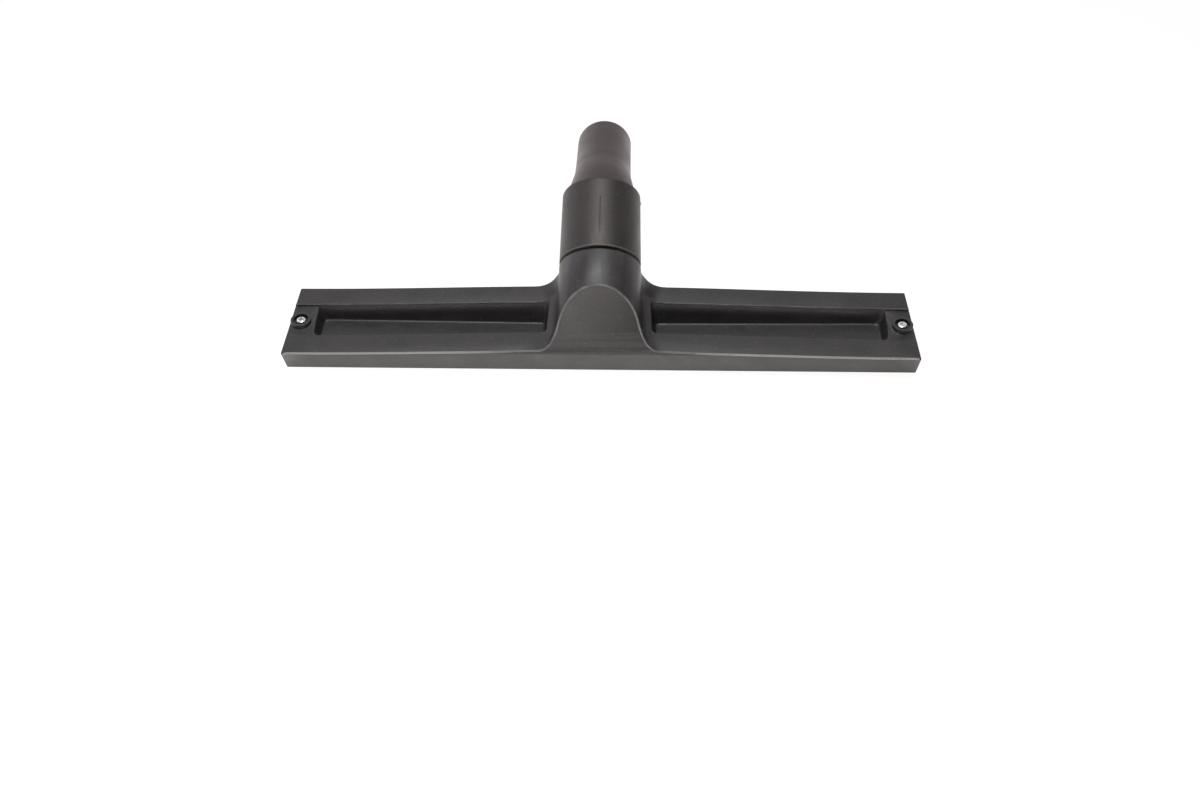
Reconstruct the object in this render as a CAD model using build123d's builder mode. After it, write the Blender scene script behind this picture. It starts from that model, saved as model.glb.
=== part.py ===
from build123d import *
import os
from math import atan, cos, pi, radians, sin, sqrt, tan

os.makedirs("parts", exist_ok=True)

# A floor nozzle for a vacuum cleaner. X runs along the head, +Y points to the rear where the
# tube leaves, +Z is up and the floor is z = 0. Lengths are in millimetres, angles in degrees.

# Head, outside. Heights are taken from the rim that frames the suction mouth.
head_length = 400.0
head_depth = 53.5
rim_lift = 5.0  # rim above the floor: what the bristles and wheels stand proud
front_undercut = 4.5  # the front face leans in by this towards the rim
front_bulge = 1.3  # the front stands out by this in the middle
front_height_end = 15.0
front_height_mid = 19.8
rear_height_end = 23.0
rear_height_mid = 26.8
end_rake = 2.6  # each end face runs in by this towards the rear
edge_round = 1.0
head_sections = 9  # the swelling is drawn through this many sections

# Walls of the head
wall = 2.2
roof = 2.6
rim_wall = 1.8

# Troughs sunk into the roof on both sides of the neck
trough_front = 14.7  # width of the roof band left in front
trough_rear = 14.0  # width of the roof band left behind
trough_floor = 11.2
trough_floor_wall = 2.6
trough_end = 17.5  # roof left between the trough and the end of the head
trough_neck = 33.0  # where a trough starts, from the middle of the head
trough_draft = 21.0
trough_corner = 3.0
trough_neck_lean = 0.2  # lean of the trough's wall beside the neck, over its height
trough_floor_round = 1.6
pad_sink = 1.0  # end pads lie this far below the roof bands

# Screw bosses on the end pads
boss_inset = 8.0
boss_d = 13.0
boss_rise = 2.0
boss_well_d = 9.6
boss_well_depth = 2.4

# Neck
neck_pitch = 20.7
neck_d = 52.0
neck_mouth_y = 23.9  # middle of the swivel gap, behind the middle of the head
neck_mouth_height = 44.9
neck_flare = 13.0
flare_sink = 0.05  # how far a flare's edges run into the neck and the roof
apron_land = 1.6
apron_rise = 42.0  # the flat front of the neck climbs this far
apron_run = 14.4  # while it leans back by this

# Swivel
swivel_gap = 2.8
spigot_d = 44.4
spigot_wall = 2.5
spigot_length = 22.0
running_gap = 0.05  # radial, between the spigot and its socket
socket_spare = 0.6
ring_width = 3.0
ring_inset = 12.0
ring_inner_depth = 1.2
ring_outer_depth = 0.9
ring_split = 6.0
ring_gap = 0.2
sleeve_wall = 3.5
sleeve_reach = 50.8  # from the middle of the gap to the end of the sleeve
sleeve_shoulder = 5.0
sleeve_round = 0.6
nose_bend = 30.4
nose_base_d = 43.5
nose_d = 37.2
nose_length = 80.8
nose_neck_in = 32.0  # the nose bends and narrows over this length
nose_straight = 36.0  # plain end of the nose that takes the wand
nose_wall = 2.3
nose_plug = 22.0
nose_tip_round = 1.2
glue_gap = 0.05

# Brush strips: a white holder with a row of bristles set in its front half
strip_end_inset = 4.4
strip_width = 9.1
strip_height = 7.0
strip_sink = 1.3  # the holder stays this far inside the rim
strip_lip = 4.0
strip_fence = 0.9
strip_fence_sink = 2.2
strip_base = 2.0  # of the holder above the bristle roots
strip_end_round = 1.8
tuft_pitch = 9.6
tuft_overlap = 0.8
seat_gap = 0.15
front_strip_y = 4.0  # front face of the front strip, behind the front edge of the rim
rear_strip_y = 1.8  # rear face of the rear strip, in front of the rear wall's outside
inner_wall = 1.7
snap_lip = 1.0
snap_lip_height = 1.15
rib_count = 12
rib_pitch = 31.7
rib_width = 5.0
stop_width = 2.0

# Suction channel and throat
channel_roof = trough_floor - trough_floor_wall
channel_end = 15.7
channel_draft = 24.0
throat_half = 34.0
throat_waist_half = 22.0
throat_top = 24.0
throat_corner = 4.0
rear_bridge = 13.5  # roof of the rear strip's pocket under the neck

# End compartments with their wheels
cell_start = 13.0  # from the end of the head
cell_end_wall = 3.4
wheel_d = 14.0
wheel_width = 4.6
wheel_round = 0.8
axle_d = 3.0
axle_gap = 0.05
hub_d = 6.0
wheel_dish = 0.6
wheel_rim = 1.6
cheek_inner = 2.4
cheek_outer = 1.6
cheek_gap = 0.4
cheek_depth = 11.0
cheek_below_axle = 3.4
bracket_top_depth = 13.0
bracket_clear = 0.1
bracket_wheel_gap = 1.0
cheek_round = 3.0
cheek_fit = 0.02

# Screws that hold the wheel brackets
screw_d = 3.0
screw_head_d = 6.2
screw_head_h = 2.2
screw_tip_gap = 0.6  # from the screw's tip to the underside of the bracket
screw_gap = 0.05
screw_recess_width = 1.0
screw_recess_length = 3.6
screw_recess_depth = 1.2

# Places worked out from the sizes above
nose_pitch = neck_pitch - nose_bend
neck_r = neck_d / 2
sleeve_r = nose_base_d / 2 + glue_gap + sleeve_wall
spigot_r = spigot_d / 2
nose_r = nose_d / 2
half_length = head_length / 2
half_depth = head_depth / 2
tip_y = (neck_mouth_y + sleeve_reach * cos(radians(neck_pitch))
         + nose_length * cos(radians(nose_pitch)))
tip_reach = (nose_r - nose_tip_round) * sin(radians(-nose_pitch)) + nose_tip_round * (
    1 - cos(radians(nose_pitch)))
# puts the middle of the whole nozzle on y = 0
head_y = -(tip_y + tip_reach - half_depth - front_bulge) / 2
neck_axis = Vector(0, cos(radians(neck_pitch)), sin(radians(neck_pitch)))
nose_axis = Vector(0, cos(radians(nose_pitch)), sin(radians(nose_pitch)))
neck_mouth = Vector(0, head_y + neck_mouth_y, rim_lift + neck_mouth_height)
nose_root = neck_mouth + neck_axis * sleeve_reach
strip_half = half_length - strip_end_inset
front_strip_front = -half_depth + front_undercut + front_strip_y
front_strip_back = front_strip_front + strip_width
rear_strip_back = half_depth - rear_strip_y
rear_strip_front = rear_strip_back - strip_width
strip_top = strip_sink + strip_height
channel_front = front_strip_back + seat_gap + inner_wall
channel_back = rear_strip_front - seat_gap - inner_wall
channel_mid = (channel_front + channel_back) / 2
channel_depth = channel_back - channel_front
cell_inner = half_length - cell_start
cell_outer = half_length - cell_end_wall
boss_x = half_length - boss_inset
trough_lean = tan(radians(trough_draft))


def side_plane(x):
    """Section plane across the head: u runs to the rear, v runs up from the rim."""
    return Plane(origin=(x, head_y, rim_lift), x_dir=(0, 1, 0), z_dir=(1, 0, 0))


def level(height):
    """Horizontal plane at a height above the rim, over the middle of the head."""
    return Plane(origin=(0, head_y, rim_lift + height))


def neck_plane(reach):
    """Plane square to the neck, at a distance along its axis from the swivel gap."""
    return Plane(origin=neck_mouth + neck_axis * reach, x_dir=(1, 0, 0), z_dir=tuple(neck_axis))


def nose_plane(reach, pitch=nose_pitch):
    """Plane across the nose, at a distance along its axis from the sleeve's end."""
    heading = (0, cos(radians(pitch)), sin(radians(pitch)))
    return Plane(origin=nose_root + nose_axis * reach, x_dir=(1, 0, 0), z_dir=heading)


def swell(x):
    """How far the head has swollen towards its middle: 0 at the ends, 1 at the middle, level at both."""
    return (1 + cos(pi * x / half_length)) / 2


def front_height(x):
    return front_height_end + (front_height_mid - front_height_end) * swell(x)


def rear_height(x):
    return rear_height_end + (rear_height_mid - rear_height_end) * swell(x)


def roof_height(x, y):
    """Height of the roof, which slopes from its front edge up to its rear edge."""
    return front_height(x) + (rear_height(x) - front_height(x)) * (y + half_depth) / head_depth


def end_roof(y):
    """Height of the roof at the ends of the head."""
    return roof_height(half_length, y)


def neck_side(y, height):
    """Half the neck's width at a place: full up to its axis, then the round of the tube."""
    axis_height = neck_mouth_height + (y - neck_mouth_y) * tan(radians(neck_pitch))
    above = max(0, height - axis_height) * cos(radians(neck_pitch))
    return sqrt(neck_r ** 2 - above ** 2)


def front_face(height):
    """Place of the leaning front face at a height above the rim."""
    return -half_depth + front_undercut * (1 - height / front_height_end)


# Solid outline of the neck: a round tube with straight sides down to the roof, cut off flat
# in front. It is joined to the head before the inside is hollowed.
apron_slope = Vector(0, apron_run, apron_rise).normalized()
apron_base = Vector(0, head_y - half_depth - front_bulge + apron_land, rim_lift + front_height_mid)
apron_plane = Plane(origin=apron_base, x_dir=(1, 0, 0), z_dir=(0, apron_slope.Z, -apron_slope.Y))
apron_inside = Plane(origin=apron_base + Vector(0, roof / apron_slope.Z, 0), x_dir=(1, 0, 0),
                     z_dir=(0, apron_slope.Z, -apron_slope.Y))
neck_run = neck_mouth_height / sin(radians(neck_pitch)) / 2
sunk_slope = atan((front_height_mid - channel_roof) / head_depth)
sunk_plane = Plane(origin=apron_base + Vector(0, -apron_land / 2, -edge_round), x_dir=(1, 0, 0),
                   z_dir=(0, sin(sunk_slope), cos(sunk_slope)))
rear_face = Plane(origin=(0, head_y + half_depth, 0), x_dir=(1, 0, 0), z_dir=(0, -1, 0))

with BuildPart() as neck_sides:
    with BuildSketch(neck_plane(-swivel_gap / 2)):
        Rectangle(neck_d, neck_mouth_height, align=(Align.CENTER, Align.MIN))
    extrude(amount=-neck_run)
    split(bisect_by=rear_face, keep=Keep.TOP)

with BuildPart() as neck_form:
    with BuildSketch(neck_plane(-swivel_gap / 2)):
        Circle(neck_r)
    extrude(amount=-neck_run)
    add(neck_sides.part)
    split(bisect_by=apron_plane, keep=Keep.TOP)
    split(bisect_by=sunk_plane, keep=Keep.TOP)

# Flares: hollow curves that carry the neck's sides out into the roof
with BuildPart() as neck_flares:
    for side in (-1, 1):
        for y in (-half_depth - front_bulge, half_depth):
            foot = roof_height(neck_r + neck_flare, y) - flare_sink
            top = foot + neck_flare
            inner = neck_side(y, top) - flare_sink
            outer = inner + neck_flare
            bend = neck_flare * (1 - sqrt(0.5))
            with BuildSketch(Plane((0, head_y + y, rim_lift), x_dir=(1, 0, 0), z_dir=(0, -1, 0))):
                with BuildLine():
                    ThreePointArc(
                        (side * inner, top), (side * (inner + bend), foot + bend), (side * outer, foot)
                    )
                    Polyline(
                        (side * outer, foot),
                        (side * outer, foot - wall),
                        (side * (inner - wall), foot - wall),
                        (side * (inner - wall), top),
                        (side * inner, top),
                    )
                make_face()
        loft()
    split(bisect_by=apron_plane, keep=Keep.TOP)

# Air way inside the neck, ahead of the swivel socket
bore_r = spigot_r - spigot_wall
with BuildPart() as neck_bore:
    with BuildSketch(neck_plane(-swivel_gap / 2)):
        Circle(bore_r)
    extrude(amount=-neck_run)
    split(bisect_by=apron_inside, keep=Keep.TOP)
    split(bisect_by=level(front_height_mid), keep=Keep.TOP)

# Head and neck: one moulding, open below
with BuildPart() as nozzle_body:
    for i in range(head_sections):
        x = half_length * (2 * i / (head_sections - 1) - 1)
        front = -half_depth - front_bulge * swell(x)
        with BuildSketch(side_plane(x)):
            with BuildLine():
                Polyline((front + front_undercut, 0), (front, front_height(x)),
                         (half_depth, rear_height(x)), (half_depth, 0), close=True)
            make_face()
    loft()

    # raked end faces
    for side in (-1, 1):
        with BuildSketch(Plane((0, head_y, 0))):
            with BuildLine():
                Polyline((side * half_length, -half_depth), (side * (half_length - end_rake), half_depth),
                         (side * (half_length + end_rake), half_depth), close=True)
            make_face()
        extrude(amount=head_depth * 2, mode=Mode.SUBTRACT)

    # neck, with flares where its sides run into the roof
    add(neck_form.part)
    add(neck_flares.part)

    # rounded outer edges: roof, front, ends and the rear line that climbs the flares
    rear_y = head_y + half_depth
    roof_edges = nozzle_body.edges().filter_by(
        lambda e: e.center().Z > rim_lift + front_height_end / 2
        and e.geom_type != GeomType.ELLIPSE
        and all(abs((e @ t).Y - rear_y) < 0.05 for t in (0, 0.5, 1))
    )
    front_edge = nozzle_body.edges().filter_by(
        lambda e: e.length > half_length
        and e.center().Z > rim_lift + front_height_end / 2
        and e.center().Y < head_y
    )
    end_edges = nozzle_body.edges().filter_by(
        lambda e: abs(e.center().X) > half_length - 2 * end_rake
        and e.center().Z > rim_lift + front_height_end / 4
        and abs((e @ 0).X - (e @ 1).X) < 2 * end_rake
    )
    fillet(ShapeList(set(roof_edges + front_edge + end_edges)), edge_round)

    # troughs in the roof, wider at the top, between roof bands of one width
    pad_front = -half_depth + trough_front
    pad_back = half_depth - trough_rear
    trough_top = rear_height_mid + trough_floor_wall
    for side in (-1, 1):
        for height in (trough_floor, trough_top):
            inner = trough_neck - (height - roof_height(trough_neck, 0)) * trough_neck_lean
            outer = half_length - trough_end + (height - end_roof(0)) * trough_lean
            with BuildSketch(level(height)):
                with BuildLine():
                    Polyline(
                        (side * inner, pad_front - (height - roof_height(0, pad_front)) * trough_lean),
                        (side * outer, pad_front - (height - end_roof(pad_front)) * trough_lean),
                        (side * outer, pad_back + (height - end_roof(pad_back)) * trough_lean),
                        (side * inner, pad_back + (height - roof_height(0, pad_back)) * trough_lean),
                        close=True,
                    )
                trough_face = make_face()
                fillet(trough_face.vertices(), trough_corner)
        loft(mode=Mode.SUBTRACT)
    floor_edges = nozzle_body.edges().filter_by(
        lambda e: all(abs((e @ t).Z - rim_lift - trough_floor) < 0.01 for t in (0, 0.5, 1))
    )
    fillet(floor_edges, trough_floor_round)

    # end pads, sunk a little below the roof bands
    for side in (-1, 1):
        with BuildSketch(side_plane(side * (half_length - trough_end))):
            with BuildLine():
                Polyline((pad_front, end_roof(pad_front) - pad_sink),
                         (pad_back, end_roof(pad_back) - pad_sink),
                         (pad_back, rear_height_mid), (pad_front, rear_height_mid), close=True)
            make_face()
        extrude(amount=side * 2 * trough_end, mode=Mode.SUBTRACT)

    # strip pockets along the front and rear walls, with the roof hollowed above them
    front_top = front_height_end - roof
    front_foot = -half_depth + front_undercut + rim_wall
    slot_half = strip_half + seat_gap
    with BuildSketch(side_plane(-slot_half)):
        with BuildLine():
            Polyline(
                (front_foot, 0),
                (front_face(front_top) + wall, front_top),
                (pad_front - roof, front_top),
                (front_strip_back - strip_lip, strip_top + seat_gap),
                (front_strip_back + seat_gap, strip_top + seat_gap),
                (front_strip_back + seat_gap, strip_sink),
                (front_strip_back - snap_lip, snap_lip_height),
                (front_strip_back - snap_lip, 0),
                close=True,
            )
        make_face()
    extrude(amount=2 * slot_half, mode=Mode.SUBTRACT)
    bridge_half = trough_neck + wall
    for side in (-1, 1):
        for x, height in (
            (side * bridge_half, rear_height(bridge_half) - roof),
            (side * slot_half, rear_height(slot_half) - roof),
        ):
            with BuildSketch(side_plane(x)):
                with BuildLine():
                    Polyline(
                        (rear_strip_back + seat_gap, 0),
                        (rear_strip_back, height),
                        (rear_strip_front + wall, height),
                        (rear_strip_front - seat_gap, height - 2 * wall),
                        (rear_strip_front - seat_gap, 0),
                        close=True,
                    )
                make_face()
        loft(mode=Mode.SUBTRACT)
    with BuildSketch(side_plane(-bridge_half)):
        with BuildLine():
            Polyline(
                (rear_strip_back + seat_gap, 0),
                (rear_strip_back, rear_bridge),
                (rear_strip_front - seat_gap, rear_bridge),
                (rear_strip_front - seat_gap, 0),
                close=True,
            )
        make_face()
    extrude(amount=2 * bridge_half, mode=Mode.SUBTRACT)

    # suction channel under the troughs, its ends leaning out to the rim
    channel_lean = channel_roof * tan(radians(channel_draft))
    for height, lean in ((0, 0), (channel_roof, channel_lean)):
        with BuildSketch(level(height)):
            with Locations((0, channel_mid)):
                Rectangle(2 * (half_length - channel_end - lean), channel_depth)
    loft(mode=Mode.SUBTRACT)

    # throat in the middle, narrowing as it climbs to the neck
    throat_front = front_strip_back + seat_gap
    throat_mid = (throat_front + channel_back) / 2
    for height, half in ((0, throat_half), (channel_roof, throat_half), (throat_top, throat_waist_half)):
        with BuildSketch(level(height)):
            with Locations((0, throat_mid)):
                RectangleRounded(2 * half, channel_back - throat_front, throat_corner)
    loft(ruled=True, mode=Mode.SUBTRACT)
    add(neck_bore.part, mode=Mode.SUBTRACT)

    # swivel socket with a groove for the retaining ring
    socket_r = spigot_r + running_gap
    socket_end = swivel_gap / 2 + spigot_length + socket_spare
    with BuildSketch(neck_plane(-socket_end)):
        Circle(socket_r)
    extrude(amount=spigot_length + socket_spare, mode=Mode.SUBTRACT)
    ring_start = swivel_gap / 2 + ring_inset
    with BuildSketch(neck_plane(-ring_start - ring_gap)):
        Circle(spigot_r + ring_outer_depth + ring_gap)
    extrude(amount=ring_width + 2 * ring_gap, mode=Mode.SUBTRACT)

    # end compartments for the wheels
    cell_top = end_roof(channel_front) - pad_sink - roof
    for side in (-1, 1):
        with BuildSketch(level(0)):
            with Locations((side * (cell_inner + cell_outer) / 2, channel_mid)):
                Rectangle(cell_outer - cell_inner, channel_depth)
        extrude(amount=cell_top, mode=Mode.SUBTRACT)

    # retaining ribs in front of and above the front strip, stops above the rear one
    for i in range(rib_count):
        rib_x = (i - (rib_count - 1) / 2) * rib_pitch
        with BuildSketch(side_plane(rib_x - rib_width / 2)):
            with BuildLine():
                Polyline(
                    (front_foot - rim_wall / 2, 0),
                    (front_strip_front - seat_gap, 0),
                    (front_strip_front - seat_gap, strip_top + seat_gap),
                    (front_strip_back - strip_lip, strip_top + seat_gap),
                    (pad_front - roof, front_top + roof / 2),
                    (front_face(front_top) + wall / 2, front_top + roof / 2),
                    close=True,
                )
            make_face()
        extrude(amount=rib_width)
        with BuildSketch(side_plane(rib_x - stop_width / 2)):
            with BuildLine():
                Polyline(
                    (rear_strip_front - wall, strip_top + seat_gap),
                    (rear_strip_back + wall / 2, strip_top + seat_gap),
                    (rear_strip_back + wall / 2, rear_bridge + wall / 2),
                    (rear_strip_front - wall, rear_bridge + wall / 2),
                    close=True,
                )
            make_face()
        extrude(amount=stop_width)

    # screw bosses on the end pads
    pad_height = end_roof(0) - pad_sink
    boss_top = pad_height + boss_rise
    for side in (-1, 1):
        with BuildSketch(level(cell_top)):
            with Locations((side * boss_x, 0)):
                Circle(boss_d / 2)
        extrude(amount=boss_top - cell_top)
        with BuildSketch(level(boss_top)):
            with Locations((side * boss_x, 0)):
                Circle(boss_well_d / 2)
        extrude(amount=-boss_well_depth, mode=Mode.SUBTRACT)
        with BuildSketch(level(boss_top)):
            with Locations((side * boss_x, 0)):
                Circle(screw_d / 2 + screw_gap)
        extrude(amount=-(boss_top - cell_top), mode=Mode.SUBTRACT)
nozzle_body.part.label = "nozzle_body"
export_step(nozzle_body.part, "parts/nozzle_body.step")

# Swivel sleeve: turns in the neck on its spigot and takes the nose in its other end
with BuildPart() as swivel_sleeve:
    with BuildSketch(neck_plane(-swivel_gap / 2 - spigot_length)):
        Circle(spigot_r)
    extrude(amount=spigot_length + swivel_gap)
    with BuildSketch(neck_plane(swivel_gap / 2)):
        Circle(sleeve_r)
    extrude(amount=sleeve_reach - swivel_gap / 2)
    sleeve_rims = swivel_sleeve.edges().filter_by(
        lambda e: e.geom_type == GeomType.CIRCLE and abs(e.radius - sleeve_r) < 0.01
    )
    fillet(sleeve_rims, sleeve_round)
    with BuildSketch(neck_plane(-swivel_gap / 2 - spigot_length)):
        Circle(bore_r)
    extrude(amount=spigot_length + sleeve_reach, mode=Mode.SUBTRACT)
    shoulder = swivel_gap / 2 + sleeve_shoulder
    with BuildSketch(neck_plane(shoulder)):
        Circle(nose_base_d / 2 + glue_gap)
    extrude(amount=sleeve_reach - shoulder, mode=Mode.SUBTRACT)
    with BuildSketch(neck_plane(-ring_start - ring_gap)):
        Circle(spigot_r)
        Circle(spigot_r - ring_inner_depth, mode=Mode.SUBTRACT)
    extrude(amount=ring_width + 2 * ring_gap, mode=Mode.SUBTRACT)
swivel_sleeve.part.label = "swivel_sleeve"
export_step(swivel_sleeve.part, "parts/swivel_sleeve.step")

# Retaining ring: a split ring that sits half in the socket and half in the spigot
with BuildPart() as swivel_retaining_ring:
    with BuildSketch(neck_plane(-ring_start)):
        Circle(spigot_r + ring_outer_depth)
        Circle(spigot_r - ring_inner_depth + ring_gap, mode=Mode.SUBTRACT)
        with Locations((0, -spigot_r)):
            Rectangle(ring_split, 4 * (ring_inner_depth + ring_outer_depth), mode=Mode.SUBTRACT)
    extrude(amount=ring_width)
swivel_retaining_ring.part.label = "swivel_retaining_ring"
export_step(swivel_retaining_ring.part, "parts/swivel_retaining_ring.step")

# Nose: a bent, tapering tube plugged into the sleeve. Each row of its course gives a share of
# the bend's length with the shares of the turn and of the narrowing reached there.
nose_course = ((0, 0, 0), (0.3, 0.5, 0.2), (0.65, 0.92, 0.7), (1, 1, 0.92))
nose_narrowing = nose_base_d / 2 - nose_r
with BuildPart() as nose_tube:
    for skin, kind in ((0, Mode.ADD), (nose_wall, Mode.SUBTRACT)):
        with BuildSketch(neck_plane(sleeve_reach - nose_plug)):
            Circle(nose_base_d / 2 - skin)
        extrude(amount=nose_plug, mode=kind)
        for share, turn, narrow in nose_course:
            with BuildSketch(nose_plane(share * nose_neck_in, neck_pitch - turn * nose_bend)):
                Circle(nose_base_d / 2 - narrow * nose_narrowing - skin)
        loft(mode=kind)
        for reach, narrow in ((nose_neck_in, nose_course[-1][-1]), (nose_length - nose_straight, 1)):
            with BuildSketch(nose_plane(reach)):
                Circle(nose_base_d / 2 - narrow * nose_narrowing - skin)
        loft(mode=kind)
        with BuildSketch(nose_plane(nose_length - nose_straight)):
            Circle(nose_r - skin)
        extrude(amount=nose_straight, mode=kind)
    tip_edge = nose_tube.edges().filter_by(
        lambda e: e.geom_type == GeomType.CIRCLE and abs(e.radius - nose_r) < 0.01
    ).sort_by(Axis.Y)[-1]
    fillet(tip_edge, nose_tip_round)
nose_tube.part.label = "nose_tube"
export_step(nose_tube.part, "parts/nose_tube.step")

# Brush strips, one along the front wall and one along the rear wall
groove_width = strip_width - strip_lip - strip_fence
groove_roof = strip_top - strip_base
for strip, start in (("front", front_strip_front), ("rear", rear_strip_front)):
    with BuildPart() as brush_holder:
        with BuildSketch(side_plane(-strip_half)):
            with BuildLine():
                Polyline(
                    (start, strip_sink + strip_fence_sink),
                    (start, strip_top),
                    (start + strip_width, strip_top),
                    (start + strip_width, strip_sink),
                    (start + strip_width - strip_lip, strip_sink),
                    (start + strip_width - strip_lip, groove_roof),
                    (start + strip_fence, groove_roof),
                    (start + strip_fence, strip_sink + strip_fence_sink),
                    close=True,
                )
            make_face()
        extrude(amount=2 * strip_half)
        lip_ends = brush_holder.edges().filter_by(Axis.Z).filter_by(
            lambda e: e.center().Z < rim_lift + groove_roof
            and e.center().Y > head_y + start + strip_width - strip_lip - seat_gap
        )
        fillet(lip_ends, strip_end_round)
    brush_holder.part.label = f"{strip}_brush_holder"
    export_step(brush_holder.part, f"parts/{strip}_brush_holder.step")

    with BuildPart() as bristles:
        tuft_count = round(2 * strip_half / tuft_pitch)
        tuft_step = 2 * strip_half / tuft_count
        with BuildSketch(Plane((0, head_y + start + strip_fence + groove_width / 2, 0))):
            with GridLocations(tuft_step, 1, tuft_count, 1):
                SlotOverall(tuft_step + tuft_overlap, groove_width)
            Rectangle(2 * strip_half, groove_width, mode=Mode.INTERSECT)
        extrude(amount=rim_lift + groove_roof)
    bristles.part.label = f"{strip}_bristles"
    export_step(bristles.part, f"parts/{strip}_bristles.step")

# Wheel sets in the end compartments: bracket, axle, wheel and the screw from above
wheel_r = wheel_d / 2
axle_height = wheel_r - rim_lift
block_bottom = axle_height + wheel_r + bracket_wheel_gap
bracket_inner = cell_inner + bracket_clear
bracket_outer = cell_outer - bracket_clear
wheel_start = bracket_inner + cheek_inner + cheek_gap
seat_height = boss_top - boss_well_depth
for side, end in ((-1, "left"), (1, "right")):
    with BuildPart() as wheel_bracket:
        with BuildSketch(level(block_bottom)):
            with Locations((side * (bracket_inner + bracket_outer) / 2, channel_mid)):
                Rectangle(bracket_outer - bracket_inner, bracket_top_depth)
        extrude(amount=cell_top - block_bottom)
        for start, thick in ((bracket_inner, cheek_inner), (bracket_outer - cheek_outer, cheek_outer)):
            with BuildSketch(side_plane(side * start)):
                with Locations((channel_mid, axle_height - cheek_below_axle)):
                    Rectangle(cheek_depth, cell_top - axle_height + cheek_below_axle,
                              align=(Align.CENTER, Align.MIN))
            extrude(amount=side * thick)
        cheek_corners = wheel_bracket.edges().filter_by(Axis.X).filter_by(
            lambda e: e.center().Z < rim_lift + axle_height
        )
        fillet(cheek_corners, cheek_round)
        with BuildSketch(side_plane(side * bracket_inner)):
            with Locations((channel_mid, axle_height)):
                Circle(axle_d / 2 + cheek_fit)
        extrude(amount=side * (bracket_outer - bracket_inner), mode=Mode.SUBTRACT)
        with BuildSketch(level(cell_top)):
            with Locations((side * boss_x, 0)):
                Circle(screw_d / 2 + screw_gap)
        extrude(amount=block_bottom - cell_top, mode=Mode.SUBTRACT)
    wheel_bracket.part.label = f"{end}_wheel_bracket"
    export_step(wheel_bracket.part, f"parts/{end}_wheel_bracket.step")

    with BuildPart() as wheel_axle:
        with BuildSketch(side_plane(side * bracket_inner)):
            with Locations((channel_mid, axle_height)):
                Circle(axle_d / 2)
        extrude(amount=side * (bracket_outer - bracket_inner))
    wheel_axle.part.label = f"{end}_wheel_axle"
    export_step(wheel_axle.part, f"parts/{end}_wheel_axle.step")

    with BuildPart() as wheel:
        with BuildSketch(side_plane(side * wheel_start)):
            with Locations((channel_mid, axle_height)):
                Circle(wheel_r)
        extrude(amount=side * wheel_width)
        fillet(wheel.edges().filter_by(GeomType.CIRCLE), wheel_round)
        for face_x, inward in ((wheel_start, 1), (wheel_start + wheel_width, -1)):
            with BuildSketch(side_plane(side * face_x)):
                with Locations((channel_mid, axle_height)):
                    Circle(wheel_r - wheel_rim)
                    Circle(hub_d / 2, mode=Mode.SUBTRACT)
            extrude(amount=side * inward * wheel_dish, mode=Mode.SUBTRACT)
        with BuildSketch(side_plane(side * wheel_start)):
            with Locations((channel_mid, axle_height)):
                Circle(axle_d / 2 + axle_gap)
        extrude(amount=side * wheel_width, mode=Mode.SUBTRACT)
    wheel.part.label = f"{end}_wheel"
    export_step(wheel.part, f"parts/{end}_wheel.step")

    with BuildPart() as bracket_screw:
        with BuildSketch(level(seat_height)):
            with Locations((side * boss_x, 0)):
                Circle(screw_head_d / 2)
        extrude(amount=screw_head_h)
        head_rim = bracket_screw.edges().filter_by(GeomType.CIRCLE).sort_by(Axis.Z)[-1]
        fillet(head_rim, screw_head_h / 2)
        with BuildSketch(level(seat_height)):
            with Locations((side * boss_x, 0)):
                Circle(screw_d / 2)
        extrude(amount=block_bottom + screw_tip_gap - seat_height)
        with BuildSketch(level(seat_height + screw_head_h)):
            with Locations((side * boss_x, 0)):
                Rectangle(screw_recess_length, screw_recess_width)
                Rectangle(screw_recess_width, screw_recess_length)
        extrude(amount=-screw_recess_depth, mode=Mode.SUBTRACT)
    bracket_screw.part.label = f"{end}_bracket_screw"
    export_step(bracket_screw.part, f"parts/{end}_bracket_screw.step")
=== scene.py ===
import bmesh
import bpy
import numpy as np
from mathutils import Matrix, Vector


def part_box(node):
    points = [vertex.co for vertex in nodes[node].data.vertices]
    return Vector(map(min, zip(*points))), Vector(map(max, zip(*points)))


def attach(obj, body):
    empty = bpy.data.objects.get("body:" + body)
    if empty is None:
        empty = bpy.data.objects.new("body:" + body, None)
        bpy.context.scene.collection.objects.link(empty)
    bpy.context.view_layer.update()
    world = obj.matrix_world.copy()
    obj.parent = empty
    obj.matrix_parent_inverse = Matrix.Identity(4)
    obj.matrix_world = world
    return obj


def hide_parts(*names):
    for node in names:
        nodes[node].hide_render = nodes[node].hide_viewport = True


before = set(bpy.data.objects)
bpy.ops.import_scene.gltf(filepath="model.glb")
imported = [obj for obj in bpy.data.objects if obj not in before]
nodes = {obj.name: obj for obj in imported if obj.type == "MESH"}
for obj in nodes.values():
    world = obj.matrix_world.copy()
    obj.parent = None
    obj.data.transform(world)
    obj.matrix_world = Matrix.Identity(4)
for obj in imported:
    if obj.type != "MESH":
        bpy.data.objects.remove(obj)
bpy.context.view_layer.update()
scene = bpy.context.scene
print("frame loaded:", len(nodes), "nodes")


# sRGB hex to linear light: the usual piecewise curve on each channel
def hexToLinear(code):
    channels = [int(code[i:i + 2], 16) / 255 for i in (1, 3, 5)]
    return (*[c / 12.92 if c <= 0.04045 else ((c + 0.055) / 1.055) ** 2.4 for c in channels], 1.0)


# settings and links of a node: a key is an attribute, or a socket's name or number
def setNode(tree, node, settings):
    for key, value in settings.items():
        if isinstance(key, str) and hasattr(node, key):
            setattr(node, key, value)
        elif isinstance(value, bpy.types.NodeSocket):
            tree.links.new(value, node.inputs[key])
        else:
            node.inputs[key].default_value = value
    return node


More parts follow.
